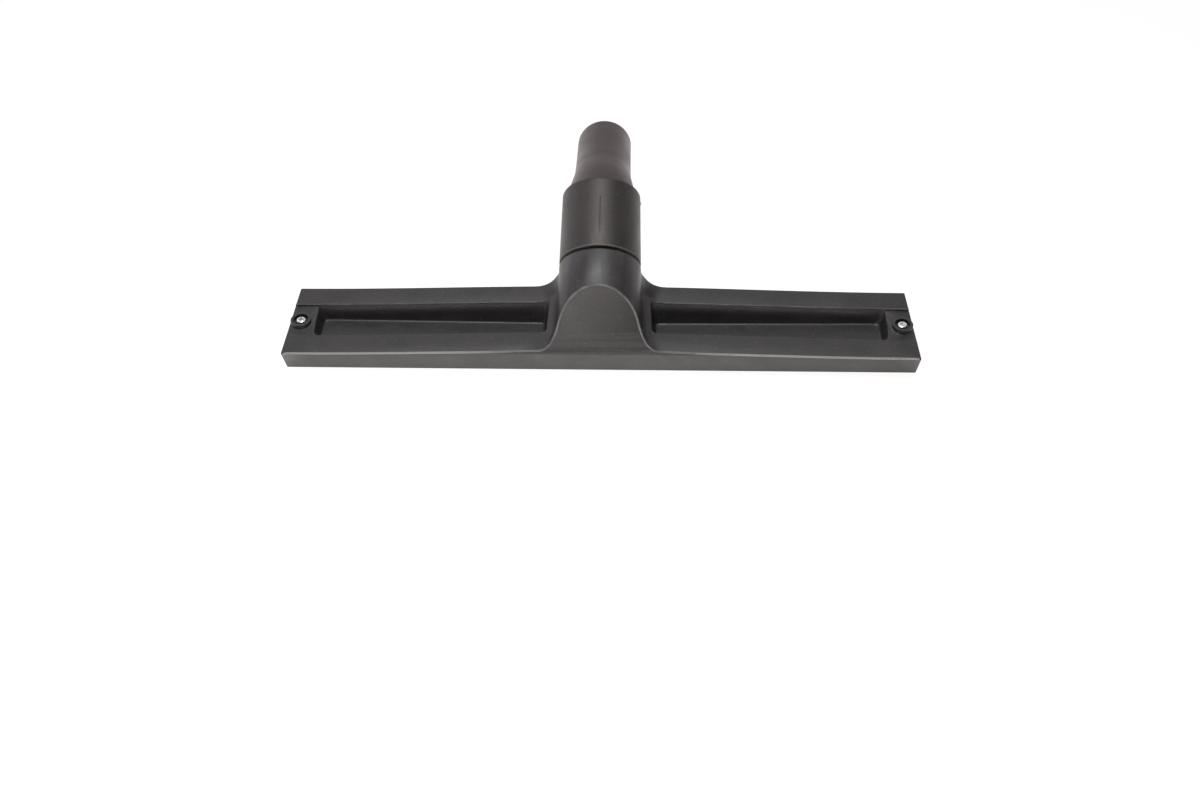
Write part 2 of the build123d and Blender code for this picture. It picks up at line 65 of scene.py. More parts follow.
def addNode(tree, kind, settings):
    return setNode(tree, tree.nodes.new(kind), settings)


def newMaterial(name):
    mat = bpy.data.materials.new(name)
    mat.use_nodes = True
    tree = mat.node_tree
    coords = addNode(tree, "ShaderNodeTexCoord", {}).outputs["Object"]
    return mat, tree, tree.nodes["Principled BSDF"], coords


cloudRange = {"From Min": 0.35, "From Max": 0.65}  # where most of a noise's values lie
speckRange = {"From Min": 0.62, "From Max": 0.74}  # only its peaks
plasticNoise = {"grain": (3.0, 0.6), "cloud": (4.0, 0.55), "speck": (1.0, 0.55)}  # detail and roughness


# Moulded plastic: a spark-eroded mould leaves fine grain that breaks up the shine, slow cooling leaves
# faint clouds, and handling leaves pale specks of dust in the grain. The grain is drawn coarser than
# the real 0.2 mm, and the specks coarser than dust, so that both still show at the photograph's scale.
def mouldedPlastic(look):
    mat, tree, shader, coords = newMaterial(look["name"])
    noise = {}
    for name, (detail, rough) in plasticNoise.items():
        noise[name] = addNode(tree, "ShaderNodeTexNoise", {
            "Vector": coords, "Scale": 1000 / look[name + "Mm"], "Detail": detail, "Roughness": rough,
        }).outputs[0]
    paler = addNode(tree, "ShaderNodeMapRange", {"Value": noise["cloud"], **cloudRange})
    clouds = addNode(tree, "ShaderNodeMix", {
        "data_type": "RGBA", 0: paler.outputs[0],
        6: hexToLinear(look["deep"]), 7: hexToLinear(look["pale"]),
    })
    specks = addNode(tree, "ShaderNodeMapRange", {
        "Value": noise["speck"], **speckRange, "To Max": look["speckShare"],
    })
    dusty = addNode(tree, "ShaderNodeMix", {
        "data_type": "RGBA", 0: specks.outputs[0], 6: clouds.outputs[2], 7: hexToLinear(look["dust"]),
    })
    rough = addNode(tree, "ShaderNodeMapRange", {
        "Value": noise["cloud"], **cloudRange,
        "To Min": look["rough"] - look["roughPlay"], "To Max": look["rough"] + look["roughPlay"],
    })
    bump = addNode(tree, "ShaderNodeBump", {
        "Height": noise["grain"], "Strength": look["grainStrength"], "Distance": look["grainDepth"],
    })
    setNode(tree, shader, {
        "Base Color": dusty.outputs[2], "Roughness": rough.outputs[0], "Normal": bump.outputs[0],
        "Specular IOR Level": look["shine"], "Specular Tint": hexToLinear(look["shineTint"]),
    })
    return mat


# a colour laid over what already feeds a material's base colour
def layOver(mat, factor, code):
    tree = mat.node_tree
    base = tree.nodes["Principled BSDF"].inputs["Base Color"]
    mix = addNode(tree, "ShaderNodeMix", {
        "data_type": "RGBA", 0: factor, 6: base.links[0].from_socket, 7: hexToLinear(code),
    })
    tree.links.new(mix.outputs[2], base)


# head: black polypropylene from a grained mould, dull with a soft sheen
bodyLook = {
    "name": "blackPolypropyleneGrained", "deep": "#1b1a1b", "pale": "#211f1f", "dust": "#4a4846",
    "grainMm": 0.7, "cloudMm": 22, "speckMm": 1.3, "speckShare": 0.4, "rough": 0.46, "roughPlay": 0.06,
    "grainStrength": 0.42, "grainDepth": 0.0002, "shine": 0.5, "shineTint": "#ffffff",
}
bodyPlastic = mouldedPlastic(bodyLook)

# sleeve: the same, with a trace of warmth in its sheen
sleeveLook = {
    **bodyLook, "name": "blackPolypropyleneSleeve", "deep": "#1c1b1b", "pale": "#231f1f",
    "shineTint": "#fff8f5",
}
sleevePlastic = mouldedPlastic(sleeveLook)

# nose: browner plastic from a smoother mould, so its sheen is more even
nosePlastic = mouldedPlastic({
    **bodyLook, "name": "brownBlackPolypropyleneSatin", "deep": "#272020", "pale": "#2f2725",
    "grainStrength": 0.12, "rough": 0.42, "speckShare": 0.2, "shineTint": "#ffe8da",
})

# edges: the same plastic, smoother, with a painted highlight that is palest towards the head's ends
edgeHighlightLook = {
    **bodyLook, "name": "blackPolypropylenePaintedHighlightEdge", "deep": "#383737", "pale": "#595857", "cloudMm": 9,
    "rough": 0.4, "endHighlight": "#7b7977", "endFrom": 0.045, "endTo": 0.09,
}
paintedEdgeHighlight = mouldedPlastic(edgeHighlightLook)
edgeHighlightTree = paintedEdgeHighlight.node_tree
edgeHighlightCoords = addNode(edgeHighlightTree, "ShaderNodeTexCoord", {}).outputs["Object"]
edgeHighlightPlace = addNode(edgeHighlightTree, "ShaderNodeSeparateXYZ", {0: edgeHighlightCoords})
edgeHighlightAside = addNode(edgeHighlightTree, "ShaderNodeMath", {"operation": "ABSOLUTE", 0: edgeHighlightPlace.outputs[0]})
endHighlightShare = addNode(edgeHighlightTree, "ShaderNodeMapRange", {
    "Value": edgeHighlightAside.outputs[0], "From Min": edgeHighlightLook["endFrom"], "From Max": edgeHighlightLook["endTo"],
})
# painted highlight: the edge is drawn paler still towards the head's ends
layOver(paintedEdgeHighlight, endHighlightShare.outputs[0], edgeHighlightLook["endHighlight"])
# rims: the same plastic, smoother, painted paler than the faces as a highlight along the trough rims
paintedRimHighlight = mouldedPlastic({
    **bodyLook, "name": "blackPolypropylenePaintedHighlightRim", "deep": "#2c2b2b", "pale": "#454341", "cloudMm": 14,
    "rough": 0.4,
})

# brush holders: extruded, so they are smooth and shine along their length
whiteStrip = mouldedPlastic({
    **bodyLook, "name": "whitePolypropyleneExtruded", "deep": "#dde6ef", "pale": "#eef3f8",
    "dust": "#b9bdc2", "rough": 0.38, "grainStrength": 0.06,
})

# retaining ring: uncoloured acetal, off-white and waxy
ringPlastic = mouldedPlastic({
    **bodyLook, "name": "acetalNatural", "deep": "#d3d0c6", "pale": "#e0ddd4", "dust": "#a5a29a",
    "rough": 0.35, "grainStrength": 0.05,
})

# wheels: nylon from a polished mould, glossier than the head
wheelPlastic = mouldedPlastic({
    **bodyLook, "name": "blackNylonWheel", "deep": "#191919", "pale": "#232323", "rough": 0.32,
    "grainStrength": 0.1,
})

# filaments: drawn nylon, smooth, each a slightly different black
bristleNylon = mouldedPlastic({
    **bodyLook, "name": "blackNylonFilament", "deep": "#0d0d0e", "pale": "#1b1a1a", "cloudMm": 1.2,
    "rough": 0.4, "grainStrength": 0.0, "speckShare": 0.1,
})

# zinc plating on steel: bright and slightly blue, with fine turning marks that blur the shine
zincLook = {
    "name": "zincPlatedSteel", "deep": "#b9bdc2", "pale": "#eef0f2", "cloudMm": 1.5, "markMm": 0.35,
    "rough": 0.3, "roughPlay": 0.07, "markStrength": 0.15, "markDepth": 0.0001,
}
zincNoise = {"cloud": (3.0, 0.55), "mark": (2.0, 0.55)}  # detail and roughness


def zincPlate(look):
    mat, tree, shader, coords = newMaterial(look["name"])
    noise = {}
    for name, (detail, rough) in zincNoise.items():
        noise[name] = addNode(tree, "ShaderNodeTexNoise", {
            "Vector": coords, "Scale": 1000 / look[name + "Mm"], "Detail": detail, "Roughness": rough,
        }).outputs[0]
    paler = addNode(tree, "ShaderNodeMapRange", {"Value": noise["cloud"], **cloudRange})
    clouds = addNode(tree, "ShaderNodeMix", {
        "data_type": "RGBA", 0: paler.outputs[0],
        6: hexToLinear(look["deep"]), 7: hexToLinear(look["pale"]),
    })
    rough = addNode(tree, "ShaderNodeMapRange", {
        "Value": noise["cloud"], **cloudRange,
        "To Min": look["rough"] - look["roughPlay"], "To Max": look["rough"] + look["roughPlay"],
    })
    bump = addNode(tree, "ShaderNodeBump", {
        "Height": noise["mark"], "Strength": look["markStrength"], "Distance": look["markDepth"],
    })
    setNode(tree, shader, {
        "Base Color": clouds.outputs[2], "Roughness": rough.outputs[0], "Normal": bump.outputs[0],
        "Metallic": 1.0,
    })
    return mat


zincSteel = zincPlate(zincLook)

finishes = {
    "nozzle_body": bodyPlastic, "swivel_sleeve": sleevePlastic, "nose_tube": nosePlastic,
    "swivel_retaining_ring": ringPlastic, "front_brush_holder": whiteStrip,
    "rear_brush_holder": whiteStrip, "front_bristles": bristleNylon, "rear_bristles": bristleNylon,
}
for end in ("left", "right"):
    finishes[end + "_wheel_bracket"] = bodyPlastic
    finishes[end + "_wheel"] = wheelPlastic
    finishes[end + "_wheel_axle"] = zincSteel
    finishes[end + "_bracket_screw"] = zincSteel
for name, node in nodes.items():
    node.data.materials.clear()
    node.data.materials.append(finishes[name])
print("materials set:", len(finishes))

mergeWithin = {"piece": 0.000005, "solid": 0.00001}  # metres

# Soft edges: sharp edges get a small round, in metres, and the shading follows it
softEdge = {"head": 0.0005, "screw": 0.0002, "segments": 3, "angle": 0.6}


def softEdges(piece, width):
    bevel = piece.modifiers.new("round", "BEVEL")
    bevel.width = width
    bevel.segments = softEdge["segments"]
    bevel.limit_method = "ANGLE"
    bevel.angle_limit = softEdge["angle"]
    bevel.harden_normals = True
    piece.data.shade_smooth()


for end in ("left", "right"):
    screw = nodes[end + "_bracket_screw"]
    weld = screw.modifiers.new("weld", "WELD")
    weld.merge_threshold = mergeWithin["solid"]
    softEdges(screw, softEdge["screw"])


# points are in mm, the mesh in metres
def newPiece(name, points, faces, material, smooth=True):
    mesh = bpy.data.meshes.new(name)
    mesh.from_pydata((np.asarray(points).reshape(-1, 3) / 1000).tolist(), [], faces)
    if smooth:
        mesh.shade_smooth()
    if material:
        mesh.materials.append(material)
    piece = bpy.data.objects.new(name, mesh)
    scene.collection.objects.link(piece)
    return piece


# quads between the rows of a grid of points, closed round each row
def gridFaces(rows, columns):
    row, column = np.meshgrid(np.arange(rows - 1), np.arange(columns), indexing="ij")
    near = row * columns + column
    far = row * columns + (column + 1) % columns
    return np.stack([near, far, far + columns, near + columns], -1).reshape(-1, 4)


# doubles merged and faces turned outwards
def outward(mesh):
    work = bmesh.new()
    work.from_mesh(mesh)
    bmesh.ops.remove_doubles(work, verts=work.verts, dist=mergeWithin["piece"])
    bmesh.ops.recalc_face_normals(work, faces=work.faces)
    work.to_mesh(mesh)
    work.free()


# closed tube: rings of points along a path, with a cap on each end
def tubePiece(name, rings, material):
    rows, columns = rings.shape[:2]
    first = np.arange(columns)
    caps = [first[::-1].tolist(), (first + columns * (rows - 1)).tolist()]
    piece = newPiece(name, rings, gridFaces(rows, columns).tolist() + caps, material)
    outward(piece.data)
    return piece


# Head and neck in mm, as the solids have them: heights are over the rim, places behind the head's middle
head = {
    "length": 400.0, "depth": 53.5, "middleY": -62.982, "rim": 5.0, "bulge": 1.3,
    "frontEnd": 15.0, "frontMid": 19.8, "rearEnd": 23.0, "rearMid": 26.8,
}
neck = {"mouth": np.array([0, -39.082, 49.9]), "pitch": np.radians(20.7), "radius": 26.0, "gap": 1.39}


def between(first, last, share):
    return first + (last - first) * share


# 0 at the start and 1 at the end, level at both
def fade(value, start, end):
    share = np.clip((value - start) / (end - start), 0, 1)
    return share * share * (3 - 2 * share)


# the head swells along a cosine wave, from 0 at its ends to 1 in the middle
def swellAt(x):
    return (1 + np.cos(np.pi * x / (head["length"] / 2))) / 2


# the roof is straight from the front edge to the rear edge, and both edges follow the swell
def roofHeight(x, y):
    front = between(head["frontEnd"], head["frontMid"], swellAt(x))
    rear = between(head["rearEnd"], head["rearMid"], swellAt(x))
    return between(front, rear, y / head["depth"] + 0.5)


# place from the neck's own directions: to the right, along its axis and up from it
def alongNeck(right, reach, up):
    level = np.cos(neck["pitch"])
    rise = np.sin(neck["pitch"])
    return np.stack([right, reach * level - up * rise, reach * rise + up * level], -1) + neck["mouth"]


# Facet: a narrow band along the front edge that climbs the neck as its flat front. It leans back, and its
# cut starts this far behind the front edge, further at the neck.
facet = {
    "lean": 0.416, "back": 0.7, "neckBack": 1.65, "neckHalf": 44.0, "fade": 40.0, "rows": 32,
    "low": -6.0, "high": 60.0, "past": 1.0,
}


# The facet's place is the front line, plus the cut, plus the height over the front edge times the lean
def facetPlace(x, over):
    near = fade(np.abs(x), facet["neckHalf"] + facet["fade"], facet["neckHalf"])
    swell = between(swellAt(x), 1, near)
    front = -head["depth"] / 2 - head["bulge"] * swell
    cut = between(facet["back"], facet["neckBack"], near)
    height = between(head["frontEnd"], head["frontMid"], swell) + over
    return front + cut + over * facet["lean"] + head["middleY"], height + head["rim"]


# everything in front of the facet, as four corners carried along the head
def facetCutter():
    right = np.linspace(facet["neckHalf"], head["length"] / 2 + facet["past"], facet["rows"])
    along = np.concatenate([-right[::-1], right])
    lowY, lowZ = facetPlace(along, facet["low"])
    highY, highZ = facetPlace(along, facet["high"])
    outY = np.full_like(along, head["middleY"] - head["depth"])
    corners = ((lowY, lowZ), (highY, highZ), (outY, highZ), (outY, lowZ))
    return tubePiece("facetCutter", np.stack([np.stack([along, y, z], -1) for y, z in corners], 1), None)


# Flares: hollow curves that carry the neck's sides out into the roof, larger than the solid's on the front
# and rear bands. Each section is a cubic that leaves the neck along its slope and ends level on the roof,
# and the sections shrink under the solid's own flare before they reach the trough.
flare = {
    "rise": 18.0, "shrink": 0.38, "wall": 2.2, "deep": 0.8, "round": 1.657, "sink": 0.05,
    "rows": 20, "columns": 18,
    "front": {"from": -30.0, "to": -12.9, "full": -27.5, "width": 12.5},
    "rear": {"from": 26.2, "to": 13.4, "full": 26.2, "width": 16.0},
}


def flareSolid(sideways, band):
    y = np.linspace(band["from"], band["to"], flare["rows"])[:, None]
    size = 1 - flare["shrink"] * np.clip((y - band["full"]) / (band["to"] - band["full"]), 0, 1) ** 2
    foot = roofHeight(neck["radius"] + band["width"], y) - flare["sink"]
    top = foot + flare["rise"] * size
    behind = y + head["middleY"] - neck["mouth"][1]
    axis = neck["mouth"][2] - head["rim"] + behind * np.tan(neck["pitch"])
    over = np.clip(top - axis, 0, None) * np.cos(neck["pitch"])
    inner = np.sqrt(neck["radius"] ** 2 - over ** 2) - flare["sink"]
    slope = over * np.cos(neck["pitch"]) / inner
    outer = neck["radius"] + band["width"] * size
    t = np.linspace(0, 1, flare["columns"])[None]
    leave = 2 * t ** 3 - 3 * t ** 2 + 1
    start = t ** 3 - 2 * t ** 2 + t
    arrive = 3 * t ** 2 - 2 * t ** 3
    finish = t ** 3 - t ** 2
    pull = flare["round"] * (top - foot)
    x = leave * inner + start * pull * slope + arrive * outer + finish * flare["round"] * (outer - inner)
    z = leave * top - start * pull + arrive * foot
    x = np.concatenate([x, outer, inner - flare["wall"], inner - flare["wall"]], 1)
    z = np.concatenate([z, foot - flare["deep"], foot - flare["deep"], top], 1)
    rings = np.stack([sideways * x, np.broadcast_to(y, x.shape) + head["middleY"], z + head["rim"]], -1)
    return tubePiece("flare", rings, None)


# slab behind the swivel gap, square to the neck's axis, that keeps the flares off the sleeve
slab = {"thick": 12, "low": -26, "high": 40, "half": 60}


def gapSlab():
    ends = ((-neck["gap"], slab["thick"]), (slab["low"], slab["high"]), (-slab["half"], slab["half"]))
    reach, up, right = np.meshgrid(*ends, indexing="ij")
    faces = [(0, 1, 3, 2), (4, 6, 7, 5), (0, 4, 5, 1), (2, 3, 7, 6), (0, 2, 6, 4), (1, 5, 7, 3)]
    piece = newPiece("gapSlab", alongNeck(right, reach, up), faces, None)
    outward(piece.data)
    return piece


# merged copy of a node, joined with some shapes and cut by others
def shapedCopy(name, newName, adders, cutters):
    mesh = nodes[name].data.copy()
    work = bmesh.new()
    work.from_mesh(mesh)
    bmesh.ops.remove_doubles(work, verts=work.verts, dist=mergeWithin["solid"])
    work.to_mesh(mesh)
    work.free()
    copy = bpy.data.objects.new(newName, mesh)
    scene.collection.objects.link(copy)
    for tool in adders + cutters:
        change = copy.modifiers.new("change", "BOOLEAN")
        change.operation = "UNION" if tool in adders else "DIFFERENCE"
        change.solver = "EXACT"
        change.object = tool
    view = bpy.context.evaluated_depsgraph_get()
    shaped = bpy.data.meshes.new_from_object(copy.evaluated_get(view))
    copy.modifiers.clear()
    copy.data = shaped
    for tool in adders + cutters:
        bpy.data.objects.remove(tool)
    return copy


# Upper edge of the facet, read off the cut mesh: ends of the edges between a face on the facet and one
# that doesn't face the front, put in order by the angle round a point under the neck
edgeTest = {"near": 0.03, "front": -0.7, "turned": -0.75, "across": 0.99999}


def facetEdge(mesh):
    work = bmesh.new()
    work.from_mesh(mesh)
    points = np.array([v.co for v in work.verts]) * 1000
    place, zero = facetPlace(points[:, 0], 0.0)
    away = np.abs(place + (points[:, 2] - zero) * facet["lean"] - points[:, 1])
    onFacet = away < edgeTest["near"]
    flat = [face.normal.y < edgeTest["front"] and all(onFacet[v.index] for v in face.verts)
            for face in work.faces]
    ends = set()
    for edge in work.edges:
        pair = list(edge.link_faces)
        if len(pair) == 2 and flat[pair[0].index] != flat[pair[1].index]:
            other = pair[1] if flat[pair[0].index] else pair[0]
            if other.normal.y > edgeTest["turned"] and abs(other.normal.x) < edgeTest["across"]:
                ends.update(v.index for v in edge.verts)
    work.free()
    line = points[sorted(ends)]
    return line[np.argsort(np.arctan2(line[:, 0], line[:, 2] + head["rim"]))]


# The copy's ends reach out a little in front and draw in behind, and its rim runs straight where the
# solid's follows the bulge. Both moves fade out: along the head, and across the front wall.
endReach = {"front": 0.8, "rear": -0.6, "from": 186.0, "to": 196.5, "wallFrom": -18.6, "wallTo": -22.0}


def stretchEnds(mesh):
    points = np.empty(len(mesh.vertices) * 3)
    mesh.vertices.foreach_get("co", points)
    points = points.reshape(-1, 3) * 1000
    x = points[:, 0].copy()
    y = points[:, 1] - head["middleY"]
    z = points[:, 2] - head["rim"]
    out = between(endReach["front"], endReach["rear"], y / head["depth"] + 0.5)
    points[:, 0] += np.sign(x) * out * fade(np.abs(x), endReach["from"], endReach["to"])
    height = between(head["frontEnd"], head["frontMid"], swellAt(x))
    low = np.clip(1 - z / height, 0, 1)
    forward = head["bulge"] * (1 - swellAt(x)) * low
    points[:, 1] -= forward * fade(y, endReach["wallFrom"], endReach["wallTo"])
    mesh.vertices.foreach_set("co", (points / 1000).ravel())
    mesh.update()


flares = [flareSolid(sideways, flare[band]) for sideways in (-1, 1) for band in ("front", "rear")]
moulding = shapedCopy("nozzle_body", "headMoulding", flares, [facetCutter(), gapSlab()])
facetTop = facetEdge(moulding.data)
stretchEnds(moulding.data)
moulding.data.materials.clear()
moulding.data.materials.append(bodyPlastic)
softEdges(moulding, softEdge["head"])
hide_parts("nozzle_body")
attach(moulding, "head")
print("head moulding:", len(moulding.data.polygons), "faces")

# Edge bead: a small round tube sunk a little into an edge, painted paler than the faces as a highlight.
# Ring = point + radius * (cos of the turn * facing + sin of the turn * side), side = tangent x facing.
bead = {"step": 1.2, "turns": 10, "facetRadius": 0.7, "rimRadius": 0.55, "sink": 0.26, "passes": 3}


def edgeBead(name, line, facing, radius, material):
    runs = np.concatenate([[0], np.cumsum(np.linalg.norm(np.diff(line, axis=0), axis=1))])
    along = np.linspace(0, runs[-1], int(runs[-1] / bead["step"]))
    path = np.stack([np.interp(along, runs, line[:, k]) for k in range(3)], -1)
    for smoothing in range(bead["passes"]):
        path[1:-1] = (path[:-2] + 2 * path[1:-1] + path[2:]) / 4
    facing = np.array(facing) / np.linalg.norm(facing)
    tangent = np.gradient(path, axis=0)
    tangent /= np.linalg.norm(tangent, axis=1, keepdims=True)
    side = np.cross(tangent, facing)
    side /= np.linalg.norm(side, axis=1, keepdims=True)
    core = path + radius * bead["sink"] * (side - facing)
    turn = np.linspace(0, 2 * np.pi, bead["turns"], endpoint=False)[None, :, None]
    rings = core[:, None] + radius * (np.cos(turn) * facing + np.sin(turn) * side[:, None])
    piece = tubePiece(name, rings, material)
    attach(piece, "head")
    print(name, round(runs[-1]), "mm")


edgeBead("facetEdge", facetTop, (0, -1, facet["lean"]), bead["facetRadius"], paintedEdgeHighlight)

# Trough rims: the front edge of the rear roof band, straight from the flare to the end of the head
trough = {"inner": 39.0, "outer": 197.6, "rear": 12.9, "lean": 0.4, "points": 80}
for sideways, name in ((-1, "leftTroughRim"), (1, "rightTroughRim")):
    rimX = np.linspace(trough["inner"], trough["outer"], trough["points"])[::sideways]
    rimY = np.full_like(rimX, trough["rear"])
    rim = np.stack([sideways * rimX, rimY + head["middleY"], roofHeight(rimX, rimY) + head["rim"]], -1)
    edgeBead(name, rim, (0, -1, trough["lean"]), bead["rimRadius"], paintedRimHighlight)

# Sleeve: a profile of reach along the neck's axis and radius, turned about that axis. On its crown a
# parting ridge swells the radius by a bell curve across the line, and a nib of flash stands on the right.
sleeve = {
    "profile": [
        (-23.4, 19.7), (-23.4, 22.2), (-13.6, 22.2), (-13.6, 21.0), (-10.2, 21.0), (-10.2, 22.2),  # spigot
        (1.4, 22.2), (1.4, 25.4), (1.55, 25.8), (2.0, 26.0),  # lower rim
        (50.2, 25.3), (50.65, 25.1), (50.8, 24.7), (50.8, 21.8), (28.8, 21.8), (28.8, 19.7),  # nose end
    ],
    "step": 1.0, "turns": 360, "outside": 24.6, "lowEnd": 1.4, "highEnd": 50.8,
    "ridge": 0.09, "ridgeWidth": 0.45, "ridgeFrom": 10.0, "ridgeTo": 37.0, "ridgeStart": 3, "ridgeEnd": 1.5,
    "nib": 0.55, "nibWidth": 0.8, "nibReach": 47.0, "crease": 0.6,
}


def sleeveSurface():
    corners = np.array(sleeve["profile"] + sleeve["profile"][:1])
    rows = [corners[:1]]
    for last, here in zip(corners, corners[1:]):
        count = max(1, int(np.hypot(*(here - last)) / sleeve["step"]))
        rows.append(between(last, here, np.arange(1, count + 1)[:, None] / count))
    reach, radius = np.concatenate(rows).T[:, :, None]
    turn = np.linspace(-np.pi, np.pi, sleeve["turns"], endpoint=False)[None, :]
    outside = (radius > sleeve["outside"]) & (reach > sleeve["lowEnd"]) & (reach < sleeve["highEnd"])
    begins = np.clip((reach - sleeve["ridgeFrom"]) / sleeve["ridgeStart"], 0, 1)
    stops = np.clip((sleeve["ridgeTo"] - reach) / sleeve["ridgeEnd"], 0, 1)
    ridge = sleeve["ridge"] * np.exp(-(turn * radius / sleeve["ridgeWidth"]) ** 2) * begins * stops
    away = ((turn - np.pi / 2) * radius) ** 2 + (reach - sleeve["nibReach"]) ** 2
    nib = sleeve["nib"] * np.exp(-away / sleeve["nibWidth"] ** 2)
    radius = radius + outside * (ridge + nib)
    return alongNeck(radius * np.sin(turn), reach, radius * np.cos(turn))


# Sleeve marks: the lower rim painted paler as a highlight, the parting line along the crown dark and dull
marks = {
    "rimEnd": 1.75, "rimFade": 0.4, "rimHighlight": "#514f4d",
    "streakHalf": 0.1, "streakFade": 0.4, "streakSoft": 1.0, "streakDark": "#100f0f", "streakDull": 0.22,
}


def markSleeve(mat):
    tree = mat.node_tree
    coords = addNode(tree, "ShaderNodeTexCoord", {}).outputs["Object"]
    axis = (0.0, np.cos(neck["pitch"]), np.sin(neck["pitch"]))
    along = addNode(tree, "ShaderNodeVectorMath", {"operation": "DOT_PRODUCT", 0: coords, 1: axis})
    along = along.outputs["Value"]
    start = np.dot(axis, neck["mouth"])
    rimEnd = start + marks["rimEnd"]
    rim = addNode(tree, "ShaderNodeMapRange", {
        "Value": along, "From Min": rimEnd / 1000, "From Max": (rimEnd + marks["rimFade"]) / 1000,
        "To Min": 1, "To Max": 0,
    })
    # painted highlight: the lower rim is drawn paler
    layOver(mat, rim.outputs[0], marks["rimHighlight"])
    place = addNode(tree, "ShaderNodeSeparateXYZ", {0: coords})
    aside = addNode(tree, "ShaderNodeMath", {"operation": "ABSOLUTE", 0: place.outputs[0]}).outputs[0]
    begins = start + sleeve["ridgeFrom"]
    stops = start + sleeve["ridgeTo"]
    soft = marks["streakSoft"]
    streak = 1.0
    for source, low, high, first, last in (
        (aside, marks["streakHalf"], marks["streakHalf"] + marks["streakFade"], 1, 0),
        (along, begins - soft, begins + soft, 0, 1),
        (along, stops - soft, stops + soft, 1, 0),
    ):
        part = addNode(tree, "ShaderNodeMapRange", {
            "Value": source, "From Min": low / 1000, "From Max": high / 1000,
            "To Min": first, "To Max": last,
        })
        streak = addNode(tree, "ShaderNodeMath", {
            "operation": "MULTIPLY", 0: streak, 1: part.outputs[0],
        }).outputs[0]
    layOver(mat, streak, marks["streakDark"])
    shine = addNode(tree, "ShaderNodeMath", {
        "operation": "MULTIPLY_ADD", 0: streak, 1: -marks["streakDull"], 2: sleeveLook["shine"],
    })
    setNode(tree, tree.nodes["Principled BSDF"], {"Specular IOR Level": shine.outputs[0]})


markSleeve(sleevePlastic)
sleeveGrid = sleeveSurface()
sleeveFaces = gridFaces(len(sleeveGrid), sleeve["turns"])
swivelSleeve = newPiece("swivelSleeve", sleeveGrid, sleeveFaces.tolist(), sleevePlastic)
outward(swivelSleeve.data)
crease = swivelSleeve.modifiers.new("crease", "EDGE_SPLIT")
crease.split_angle = sleeve["crease"]
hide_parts("swivel_sleeve")
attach(swivelSleeve, "swivel")
print("sleeve:", len(swivelSleeve.data.polygons), "faces")

# Bristles: each filament is a thin three-sided tube from its root in the holder down to the floor, with
# its tip moved a little to one side by a square curve. Tufts stand a pitch apart.
brush = {
    "tuftMm": 9.6, "perTuft": 60, "radius": 0.14, "sides": 3, "segments": 3, "fillX": 0.92, "fillY": 0.82,
    "splay": 0.5, "edge": 0.2, "short": 0.9, "seed": 7,
}


def bristleRow(nodeName, newName):
    low, high = (np.array(corner) * 1000 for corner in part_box(nodeName))
    chance = np.random.default_rng(brush["seed"])
    tufts = int((high[0] - low[0]) / brush["tuftMm"])
    count = tufts * brush["perTuft"]
    pitch = (high[0] - low[0]) / tufts
    centre = low[0] + pitch * (np.repeat(np.arange(tufts), brush["perTuft"]) + 0.5)
    halfX = pitch / 2 - brush["radius"]
    halfY = (high[1] - low[1]) / 2 - brush["radius"]
    place = chance.uniform(-1, 1, (count, 2))
    rootX = centre + place[:, 0] * halfX * brush["fillX"]
    rootY = (low[1] + high[1]) / 2 + place[:, 1] * halfY * brush["fillY"]
    tipX = rootX + chance.normal(0, brush["splay"], count)
    tipY = rootY + chance.normal(0, brush["splay"] / 2, count)
    tip = np.clip(np.stack([tipX, tipY], -1), low[:2] + brush["edge"], high[:2] - brush["edge"])
    share = np.linspace(0, 1, brush["segments"] + 1)
    line = between(np.stack([rootX, rootY], -1)[:, None], tip[:, None], share[None, :, None] ** 2)
    bottom = low[2] + chance.uniform(0, brush["short"], count) ** 2
    height = between(high[2], bottom[:, None], share[None])
    turn = 2 * np.pi * np.arange(brush["sides"]) / brush["sides"] + chance.uniform(0, 2, count)[:, None]
    ring = brush["radius"] * np.stack([np.cos(turn), np.sin(turn)], -1)
    around = line[:, :, None] + ring[:, None]
    tall = np.broadcast_to(height[:, :, None, None], around.shape[:3] + (1,))
    rows = brush["segments"] + 1
    starts = np.arange(count)[:, None] * rows * brush["sides"]
    corners = np.arange(brush["sides"])
    quads = starts[:, :, None] + gridFaces(rows, brush["sides"])[None, :, ::-1]
    ends = starts + (rows - 1) * brush["sides"] + corners[::-1]
    faces = quads.reshape(-1, 4).tolist() + (starts + corners).tolist() + ends.tolist()
    piece = newPiece(newName, np.concatenate([around, tall], -1), faces, bristleNylon, smooth=False)
    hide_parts(nodeName)
    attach(piece, "head")
    print(newName, count, "filaments")


bristleRow("front_bristles", "frontFilaments")
bristleRow("rear_bristles", "rearFilaments")

# Camera as the photograph has it: its right, up and back directions, and its place in mm
photoView = {
    "right": (0.99957, 0.02621, -0.01349), "up": (-0.00998, 0.73148, 0.68179),
    "back": (0.02774, -0.68136, 0.73142), "place": (21.18, -601.36, 529.45), "lens": 34.64, "sensor": 36,
}
cam = bpy.data.objects.new("photoCamera", bpy.data.cameras.new("photoCamera"))
scene.collection.objects.link(cam)
facing = Matrix([photoView["right"], photoView["up"], photoView["back"]]).transposed()
cam.matrix_world = Matrix.Translation(Vector(photoView["place"]) / 1000) @ facing.to_4x4()
cam.data.lens = photoView["lens"]
cam.data.sensor_width = photoView["sensor"]
scene.camera = cam
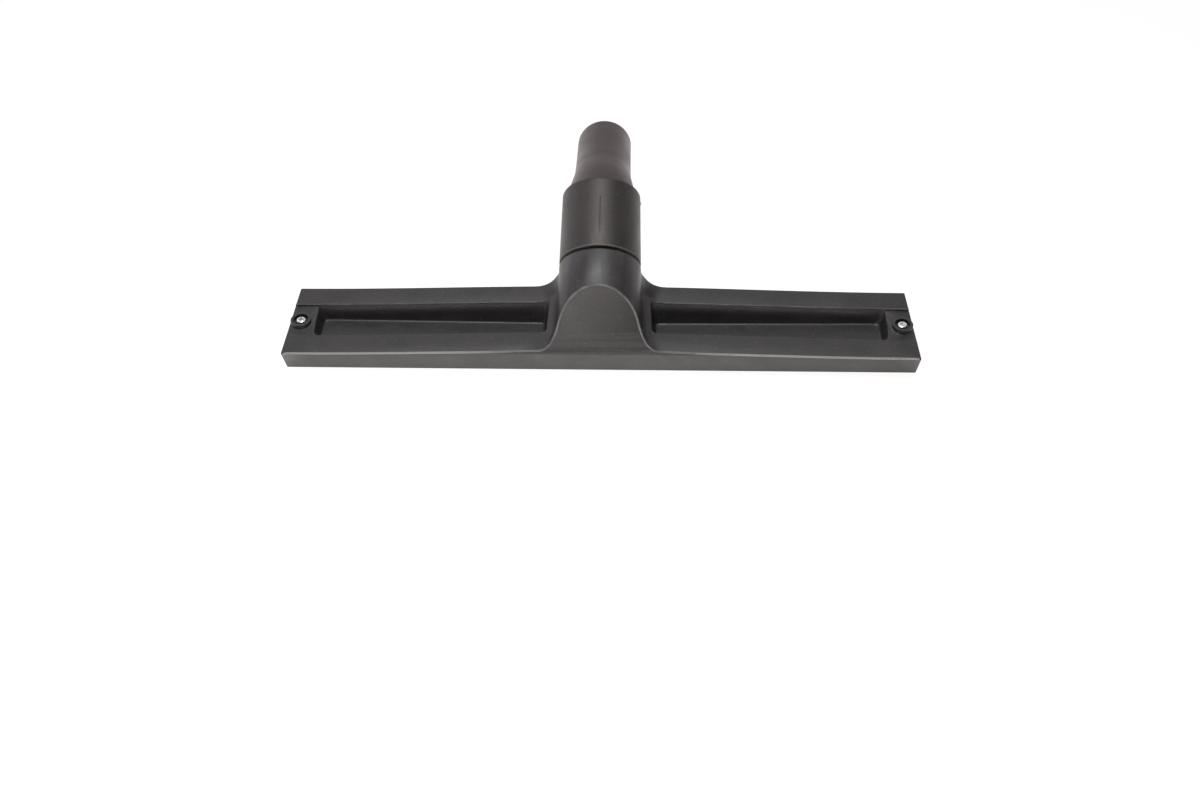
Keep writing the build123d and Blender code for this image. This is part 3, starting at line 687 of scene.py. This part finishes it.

# Pale floor: white to the camera with a trace of shadow left, and to the object a painted glow, most in
# front.
# A slope gives where it starts and ends, in metres, and the light at both.
floorLook = {
    "half": 4000, "matte": 0.85, "tint": "#fff8f6", "whiteShare": 0.8,
    "depth": (-0.12, 0.08, 1.1, 0.3), "width": (0.0, 0.25, 1, 0.72), "far": (-0.8, -0.3, 8.0, 0),
}
slopeSockets = ("From Min", "From Max", "To Min", "To Max")
floorMat = bpy.data.materials.new("paleTable")
floorMat.use_nodes = True
floorTree = floorMat.node_tree
floorCoords = addNode(floorTree, "ShaderNodeTexCoord", {}).outputs["Object"]
floorPlace = addNode(floorTree, "ShaderNodeSeparateXYZ", {0: floorCoords}).outputs
slopes = {}
for name, axis in (("depth", 1), ("width", 0), ("far", 1)):
    slopes[name] = addNode(floorTree, "ShaderNodeMapRange", {
        "Value": floorPlace[axis], **dict(zip(slopeSockets, floorLook[name])),
    }).outputs[0]
pool = addNode(floorTree, "ShaderNodeMath", {
    "operation": "MULTIPLY_ADD", 0: slopes["depth"], 1: slopes["width"], 2: slopes["far"],
})
# painted light: the floor's own glow, brightest in front, lights the object
glow = addNode(floorTree, "ShaderNodeEmission", {
    "Color": hexToLinear(floorLook["tint"]), "Strength": pool.outputs[0],
})
matte = addNode(floorTree, "ShaderNodeBsdfDiffuse", {"Color": (*[floorLook["matte"]] * 3, 1)})
lit = addNode(floorTree, "ShaderNodeAddShader", {0: matte.outputs[0], 1: glow.outputs[0]})
white = addNode(floorTree, "ShaderNodeEmission", {"Strength": 1.0})
floorSeen = addNode(floorTree, "ShaderNodeLightPath", {}).outputs["Is Camera Ray"]
share = addNode(floorTree, "ShaderNodeMath", {
    "operation": "MULTIPLY", 0: floorSeen, 1: floorLook["whiteShare"],
})
mixed = addNode(floorTree, "ShaderNodeMixShader", {
    0: share.outputs[0], 1: lit.outputs[0], 2: white.outputs[0],
})
floorTree.links.new(mixed.outputs[0], floorTree.nodes["Material Output"].inputs["Surface"])
corners = np.array([(-1, -1, 0), (1, -1, 0), (1, 1, 0), (-1, 1, 0)])
floor = newPiece("floor", corners * floorLook["half"], [(0, 1, 2, 3)], floorMat)

# Soft room, white to the camera. A slope gives an axis of the direction, where on it the light starts and
# stops to change, and the light at both.
roomLook = {
    "slopes": [
        (1, -0.5, 0.3, 0.1, 0.33),  # dim on the camera's side, even above
        (1, 0.5, 0.68, 0, 0.9),  # brighter high behind
        (1, 0.74, 0.92, 0, -0.58),  # darker low behind
        (0, -0.2, -0.95, 0, 0.6),  # brighter on the left
        (0, 0.2, 0.95, 0, -0.15),  # darker on the right
    ],
    "ahead": (-0.9, -0.5, 3.2, 0), "nearFloor": (0.0, 0.15, 1, 0),  # glow along the floor in front
    "least": 0.05, "warm": "#fff4f0", "cool": "#fbf7ff", "toneFrom": -0.1, "toneTo": 0.5,
}
world = bpy.data.worlds.new("studio")
scene.world = world
world.use_nodes = True
roomTree = world.node_tree
roomCoords = addNode(roomTree, "ShaderNodeTexCoord", {}).outputs["Generated"]
heading = addNode(roomTree, "ShaderNodeSeparateXYZ", {0: roomCoords}).outputs
level = 0.0
for axis, *slope in roomLook["slopes"]:
    part = addNode(roomTree, "ShaderNodeMapRange", {
        "Value": heading[axis], **dict(zip(slopeSockets, slope)),
    })
    added = addNode(roomTree, "ShaderNodeMath", {"operation": "ADD", 0: level, 1: part.outputs[0]})
    level = added.outputs[0]
ahead = addNode(roomTree, "ShaderNodeMapRange", {
    "Value": heading[1], **dict(zip(slopeSockets, roomLook["ahead"])),
})
nearFloor = addNode(roomTree, "ShaderNodeMapRange", {
    "Value": heading[2], **dict(zip(slopeSockets, roomLook["nearFloor"])),
})
level = addNode(roomTree, "ShaderNodeMath", {
    "operation": "MULTIPLY_ADD", 0: ahead.outputs[0], 1: nearFloor.outputs[0], 2: level,
}).outputs[0]
seen = addNode(roomTree, "ShaderNodeLightPath", {}).outputs["Is Camera Ray"]
for least in (roomLook["least"], seen):
    level = addNode(roomTree, "ShaderNodeMath", {"operation": "MAXIMUM", 0: level, 1: least}).outputs[0]
toned = addNode(roomTree, "ShaderNodeMapRange", {
    "Value": heading[1], "From Min": roomLook["toneFrom"], "From Max": roomLook["toneTo"],
})
tone = addNode(roomTree, "ShaderNodeMix", {
    "data_type": "RGBA", 0: toned.outputs[0],
    6: hexToLinear(roomLook["warm"]), 7: hexToLinear(roomLook["cool"]),
})
shown = addNode(roomTree, "ShaderNodeMix", {
    "data_type": "RGBA", 0: seen, 6: tone.outputs[2], 7: hexToLinear("#ffffff"),
})
setNode(roomTree, roomTree.nodes["Background"], {"Strength": level, "Color": shown.outputs[2]})

# Softbox overhead: it draws the light lines along the rounded edges
boxLook = {"place": (-0.05, -0.12, 1.3), "size": 0.75, "power": 15.0}
lamp = bpy.data.lights.new("softbox", "AREA")
lamp.shape = "DISK"
lamp.size = boxLook["size"]
lamp.energy = boxLook["power"]
softbox = bpy.data.objects.new("softbox", lamp)
softbox.location = boxLook["place"]
scene.collection.objects.link(softbox)
scene.view_settings.view_transform = "Standard"
print("camera and studio set")
